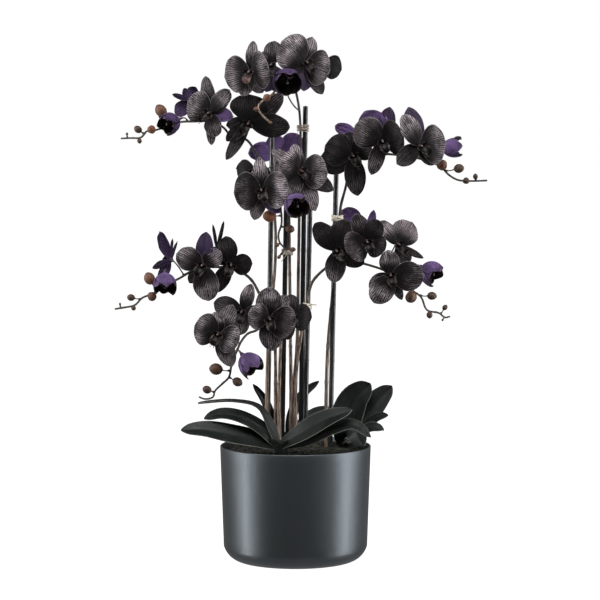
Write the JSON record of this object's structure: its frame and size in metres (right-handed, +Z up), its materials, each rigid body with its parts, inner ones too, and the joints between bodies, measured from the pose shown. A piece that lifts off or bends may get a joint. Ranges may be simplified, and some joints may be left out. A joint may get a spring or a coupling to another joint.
{
  "type": "potted moth orchid",
  "caption": "Near-black moth orchid with purple-backed petals: arching flower spikes tied to stakes above strap leaves, in a round dark satin pot.",
  "frame": {"origin": "centre of the pot's flat base, on the surface it stands on", "axes": "+Z up along the pot's axis, -Y toward the viewer of the picture, +X to that viewer's right"},
  "size_m": [0.6355, 0.2713, 0.9166],
  "materials": {
    "pot_finish": "satin",
    "bark_and_moss": "rough",
    "stake_lacquer": "gloss",
    "raffia": "matte",
    "stem_and_bud": "matte",
    "petal_skin": "matte",
    "leaf_skin": "satin"
  },
  "bodies": {
    "root": {"pot": "pot_finish", "soil": "bark_and_moss", "stake_a": "stake_lacquer", "stake_b": "stake_lacquer", "stake_d": "stake_lacquer", "stake_c": "stake_lacquer", "stake_e": "stake_lacquer", "tie_a": "raffia", "tie_c": "raffia", "tie_d": "raffia", "tie_e": "raffia", "spike_a": "stem_and_bud", "spike_b": "stem_and_bud", "spike_c": "stem_and_bud", "spike_d": "stem_and_bud", "spike_e": "stem_and_bud", "spike_f": "stem_and_bud", "spike_g": "stem_and_bud", "flower_a1": "petal_skin", "flower_a2": "petal_skin", "flower_a3": "petal_skin", "flower_a5": "petal_skin", "flower_b1": "petal_skin", "flower_b2": "petal_skin", "flower_b3": "petal_skin", "flower_c1": "petal_skin", "flower_c2": "petal_skin", "flower_c3": "petal_skin", "flower_c5": "petal_skin", "flower_d1": "petal_skin", "flower_d2": "petal_skin", "flower_d4": "petal_skin", "flower_d5": "petal_skin", "flower_e1": "petal_skin", "flower_e2": "petal_skin", "flower_e3": "petal_skin", "flower_e4": "petal_skin", "flower_e6": "petal_skin", "flower_f1": "petal_skin", "flower_f2": "petal_skin", "flower_f3": "petal_skin", "flower_f5": "petal_skin", "flower_g1": "petal_skin", "flower_g2": "petal_skin", "flower_g3": "petal_skin", "flower_g5": "petal_skin", "flower_a4": "petal_skin", "flower_b4": "petal_skin", "flower_c4": "petal_skin", "flower_d3": "petal_skin", "flower_e5": "petal_skin", "flower_f4": "petal_skin", "flower_g4": "petal_skin", "leaves_left": "leaf_skin", "leaves_back": "leaf_skin", "leaves_right": "leaf_skin"}
  },
  "joints": []
}
